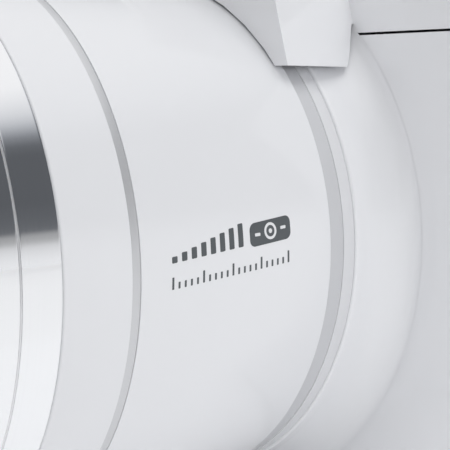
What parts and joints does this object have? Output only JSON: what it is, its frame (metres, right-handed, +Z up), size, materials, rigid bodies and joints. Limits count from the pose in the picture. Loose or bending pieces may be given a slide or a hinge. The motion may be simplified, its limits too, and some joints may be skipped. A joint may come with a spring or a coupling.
{
  "type": "compact digital camera",
  "caption": "White bridge-type compact digital camera with a fixed long-zoom barrel, polished front ring, hand grip, pop-up flash and rear screen.",
  "frame": {"origin": "middle of the camera's outline on the surface that it stands on", "axes": "+Z up, -Y the way the lens looks, +X away from the hand grip; the picture looks at the +X side of the barrel from the front"},
  "size_m": [0.119, 0.0922, 0.0865],
  "materials": {
    "white_gloss": "gloss",
    "white_satin": "satin",
    "light_grey_plastic": "satin",
    "red_plastic": "satin",
    "black_plastic": "matte",
    "battery_wrap": "matte",
    "polished_aluminium": "polished",
    "satin_metal": "satin",
    "grey_rubber": "matte",
    "circuit_board": "matte",
    "black_glass": "gloss",
    "clear_glass": "gloss"
  },
  "bodies": {
    "camera_body": {"front_cover": "white_gloss", "rear_cover": "white_satin", "top_cover": "white_gloss", "grip_rubber": "grey_rubber", "thumb_rest": "grey_rubber", "strap_lug_left": "satin_metal", "strap_lug_right": "satin_metal", "af_lamp_lens": "clear_glass", "usb_socket": "satin_metal", "battery_bay": "black_plastic", "battery": "battery_wrap", "memory_card": "black_plastic", "base_plate": "satin_metal", "tripod_socket": "satin_metal", "main_board": "circuit_board", "key_board": "circuit_board", "flash_capacitor": "black_plastic", "screen_glass": "black_glass", "lcd_panel": "black_plastic", "screen_chassis": "satin_metal", "lens_root_collar": "white_gloss", "lens_groove_ring": "light_grey_plastic", "lens_main_sleeve": "white_gloss", "lens_front_sleeve": "white_gloss", "lens_chrome_band": "polished_aluminium", "lens_front_bezel": "polished_aluminium", "lens_guide_tube": "black_plastic", "lens_base_plate": "satin_metal", "image_sensor": "black_glass", "sensor_board": "circuit_board", "zoom_motor": "satin_metal"},
    "zoom_ring": {"cam_ring": "satin_metal"},
    "motor_pinion": {"zoom_pinion": "black_plastic"},
    "first_stage": {"lens_stage_one": "black_plastic", "middle_lens_element": "clear_glass", "iris_unit": "black_plastic"},
    "second_stage": {"lens_stage_two": "black_plastic", "front_name_ring": "black_plastic", "front_lens_element": "clear_glass"},
    "focus_group": {"focus_cell": "black_plastic", "focus_lens_element": "clear_glass"},
    "mode_dial_body": {"mode_dial": "light_grey_plastic"},
    "shutter": {"shutter_button": "polished_aluminium"},
    "zoom_lever_body": {"zoom_lever": "polished_aluminium"},
    "power_key": {"power_button": "polished_aluminium"},
    "flash_key": {"flash_button": "light_grey_plastic"},
    "record_key": {"record_button": "red_plastic"},
    "play_key": {"play_button": "light_grey_plastic"},
    "menu_key": {"menu_button": "light_grey_plastic"},
    "delete_key": {"delete_button": "light_grey_plastic"},
    "ok_key": {"ok_button": "light_grey_plastic"},
    "pad_pivot": {"pad_pivot_ring": "satin_metal"},
    "pad": {"direction_pad": "light_grey_plastic"},
    "flash_unit": {"flash_head": "white_gloss", "flash_window": "clear_glass", "flash_reflector": "polished_aluminium"},
    "battery_cover": {"battery_door": "white_satin"},
    "door_latch": {"battery_latch": "light_grey_plastic"},
    "port_cover": {"port_door": "white_gloss"}
  },
  "joints": [
    {"name": "zoom_ring_turn", "type": "hinge", "parent": "camera_body", "child": "zoom_ring", "pos_m": [0.008, 0, 0.0368], "axis": [0, 1, 0], "range_deg": [0, 90]},
    {"name": "motor_pinion_turn", "type": "hinge", "parent": "camera_body", "child": "motor_pinion", "pos_m": [-0.02051, 0, 0.01684], "axis": [0, 1, 0], "range_deg": [-565, 0]},
    {"name": "first_stage_slide", "type": "slide", "parent": "camera_body", "child": "first_stage", "axis": [0, -1, 0], "range_m": [0, 0.024]},
    {"name": "second_stage_slide", "type": "slide", "parent": "first_stage", "child": "second_stage", "axis": [0, -1, 0], "range_m": [0, 0.024]},
    {"name": "focus_slide", "type": "slide", "parent": "camera_body", "child": "focus_group", "axis": [0, -1, 0], "range_m": [0, 0.003]},
    {"name": "mode_dial_turn", "type": "hinge", "parent": "camera_body", "child": "mode_dial_body", "pos_m": [-0.035, 0.0246, 0.071], "axis": [0, 0, 1], "continuous": true},
    {"name": "shutter_press", "type": "slide", "parent": "camera_body", "child": "shutter", "axis": [0, 0, -1], "range_m": [0, 0.0008], "stiffness_N_per_m": 1500, "springref_m": -0.0003},
    {"name": "zoom_lever_turn", "type": "hinge", "parent": "camera_body", "child": "zoom_lever_body", "pos_m": [-0.0455, -0.0059, 0.07], "axis": [0, 0, 1], "range_deg": [-20, 20], "stiffness_Nm_per_rad": 0.04},
    {"name": "power_press", "type": "slide", "parent": "camera_body", "child": "power_key", "axis": [0, 0, -1], "range_m": [0, 0.0005], "stiffness_N_per_m": 2500, "springref_m": -0.0002},
    {"name": "flash_button_press", "type": "slide", "parent": "camera_body", "child": "flash_key", "axis": [0, 0, -1], "range_m": [0, 0.0005], "stiffness_N_per_m": 2500, "springref_m": -0.0002},
    {"name": "record_press", "type": "slide", "parent": "camera_body", "child": "record_key", "axis": [0, -1, 0], "range_m": [0, 0.0005], "stiffness_N_per_m": 2500, "springref_m": -0.0002},
    {"name": "play_press", "type": "slide", "parent": "camera_body", "child": "play_key", "axis": [0, -1, 0], "range_m": [0, 0.0005], "stiffness_N_per_m": 2500, "springref_m": -0.0002},
    {"name": "menu_press", "type": "slide", "parent": "camera_body", "child": "menu_key", "axis": [0, -1, 0], "range_m": [0, 0.0005], "stiffness_N_per_m": 2500, "springref_m": -0.0002},
    {"name": "delete_press", "type": "slide", "parent": "camera_body", "child": "delete_key", "axis": [0, -1, 0], "range_m": [0, 0.0005], "stiffness_N_per_m": 2500, "springref_m": -0.0002},
    {"name": "ok_press", "type": "slide", "parent": "camera_body", "child": "ok_key", "axis": [0, -1, 0], "range_m": [0, 0.0005], "stiffness_N_per_m": 2500, "springref_m": -0.0002},
    {"name": "pad_left_right", "type": "hinge", "parent": "camera_body", "child": "pad_pivot", "pos_m": [-0.037, 0.0419, 0.029], "axis": [0, 0, 1], "range_deg": [-3, 3], "stiffness_Nm_per_rad": 0.6},
    {"name": "pad_up_down", "type": "hinge", "parent": "pad_pivot", "child": "pad", "pos_m": [-0.037, 0.0419, 0.029], "axis": [1, 0, 0], "range_deg": [-3, 3], "stiffness_Nm_per_rad": 0.6},
    {"name": "flash_raise", "type": "hinge", "parent": "camera_body", "child": "flash_unit", "pos_m": [0.008, 0.0181, 0.0843], "axis": [-1, 0, 0], "range_deg": [0, 60]},
    {"name": "battery_door_swing", "type": "hinge", "parent": "camera_body", "child": "battery_cover", "pos_m": [-0.0356, 0, 0.0012], "axis": [0, -1, 0], "range_deg": [0, 90]},
    {"name": "battery_latch_slide", "type": "slide", "parent": "battery_cover", "child": "door_latch", "axis": [0, -1, 0], "range_m": [0, 0.0025]},
    {"name": "port_door_swing", "type": "hinge", "parent": "camera_body", "child": "port_cover", "pos_m": [0.0548, 0.02, 0.034], "axis": [0, 0, -1], "range_deg": [0, 90]}
  ],
  "couplings": [
    {"joint": "motor_pinion_turn", "follows": "zoom_ring_turn", "ratio": -6.25},
    {"joint": "first_stage_slide", "follows": "zoom_ring_turn", "m_per_rad": 0.015278},
    {"joint": "second_stage_slide", "follows": "zoom_ring_turn", "m_per_rad": 0.015278}
  ]
}
